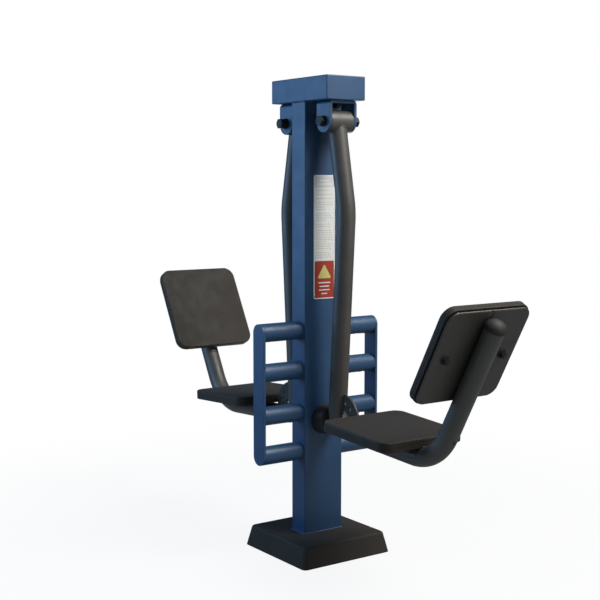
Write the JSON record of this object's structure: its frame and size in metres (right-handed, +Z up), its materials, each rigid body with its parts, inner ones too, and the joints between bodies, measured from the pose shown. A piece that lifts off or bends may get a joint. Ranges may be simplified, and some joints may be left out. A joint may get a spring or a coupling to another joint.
{
  "type": "outdoor leg press machine",
  "caption": "Outdoor leg press: swing seats hang from a beam on one post, with foot rungs on the post's narrow sides to push against.",
  "frame": {"origin": "on the ground under the middle of the post", "axes": "+Z up, +X towards the right station, Y along the foot rungs"},
  "size_m": [1.8126, 0.491, 1.645],
  "materials": {
    "blue_paint": "satin blue powder coat",
    "grey_paint": "dark grey fine-texture powder coat",
    "pad_skin": "matt moulded charcoal skin",
    "black_plastic": "fine-grained black moulding",
    "black_rubber": "matt black rubber",
    "black_steel": "black zinc-coated fasteners",
    "bearing_steel": "ground bearing steel",
    "galvanised_steel": "hot-dip galvanised",
    "sign_face": "printed aluminium, plain bars and a triangle"
  },
  "bodies": {
    "frame": {"base_plate": "galvanised_steel", "base_cover": "black_plastic", "post": "blue_paint", "cap_beam": "blue_paint", "beam_end_plate_right": "blue_paint", "beam_end_plate_left": "blue_paint", "sign": "sign_face", "anchor_bolt_1": "galvanised_steel", "anchor_bolt_2": "galvanised_steel", "anchor_bolt_3": "galvanised_steel", "anchor_bolt_4": "galvanised_steel", "front_ladder_strip": "blue_paint", "front_rung_1": "blue_paint", "front_rung_2": "blue_paint", "front_rung_3": "blue_paint", "front_rung_4": "blue_paint", "rear_ladder_strip": "blue_paint", "rear_rung_1": "blue_paint", "rear_rung_2": "blue_paint", "rear_rung_3": "blue_paint", "rear_rung_4": "blue_paint", "right_pivot_bracket": "blue_paint", "right_bracket_bolt": "black_steel", "right_pivot_bolt": "black_steel", "right_pivot_nut": "black_steel", "right_bumper": "black_rubber", "right_bumper_bolt": "black_steel", "left_pivot_bracket": "blue_paint", "left_bracket_bolt": "black_steel", "left_pivot_bolt": "black_steel", "left_pivot_nut": "black_steel", "left_bumper": "black_rubber", "left_bumper_bolt": "black_steel"},
    "right_swing_frame": {"right_hub": "grey_paint", "right_bearing_rear": "bearing_steel", "right_bearing_front": "bearing_steel", "right_swing_tube": "grey_paint", "right_gusset": "grey_paint", "right_seat_plate": "grey_paint", "right_seat_pad": "pad_skin", "right_back_board": "black_plastic", "right_back_pad": "pad_skin", "right_back_nut_rear": "black_steel", "right_back_nut_front": "black_steel", "right_end_cap": "black_plastic", "right_drain_plug": "black_plastic"},
    "left_swing_frame": {"left_hub": "grey_paint", "left_bearing_rear": "bearing_steel", "left_bearing_front": "bearing_steel", "left_swing_tube": "grey_paint", "left_gusset": "grey_paint", "left_seat_plate": "grey_paint", "left_seat_pad": "pad_skin", "left_back_board": "black_plastic", "left_back_pad": "pad_skin", "left_back_nut_rear": "black_steel", "left_back_nut_front": "black_steel", "left_end_cap": "black_plastic", "left_drain_plug": "black_plastic"}
  },
  "joints": [
    {"name": "right_swing", "type": "hinge", "parent": "frame", "child": "right_swing_frame", "pos_m": [0.11, 0, 1.496], "axis": [0, -1, 0], "range_deg": [0, 35]},
    {"name": "left_swing", "type": "hinge", "parent": "frame", "child": "left_swing_frame", "pos_m": [-0.11, 0, 1.496], "axis": [0, 1, 0], "range_deg": [0, 35]}
  ]
}
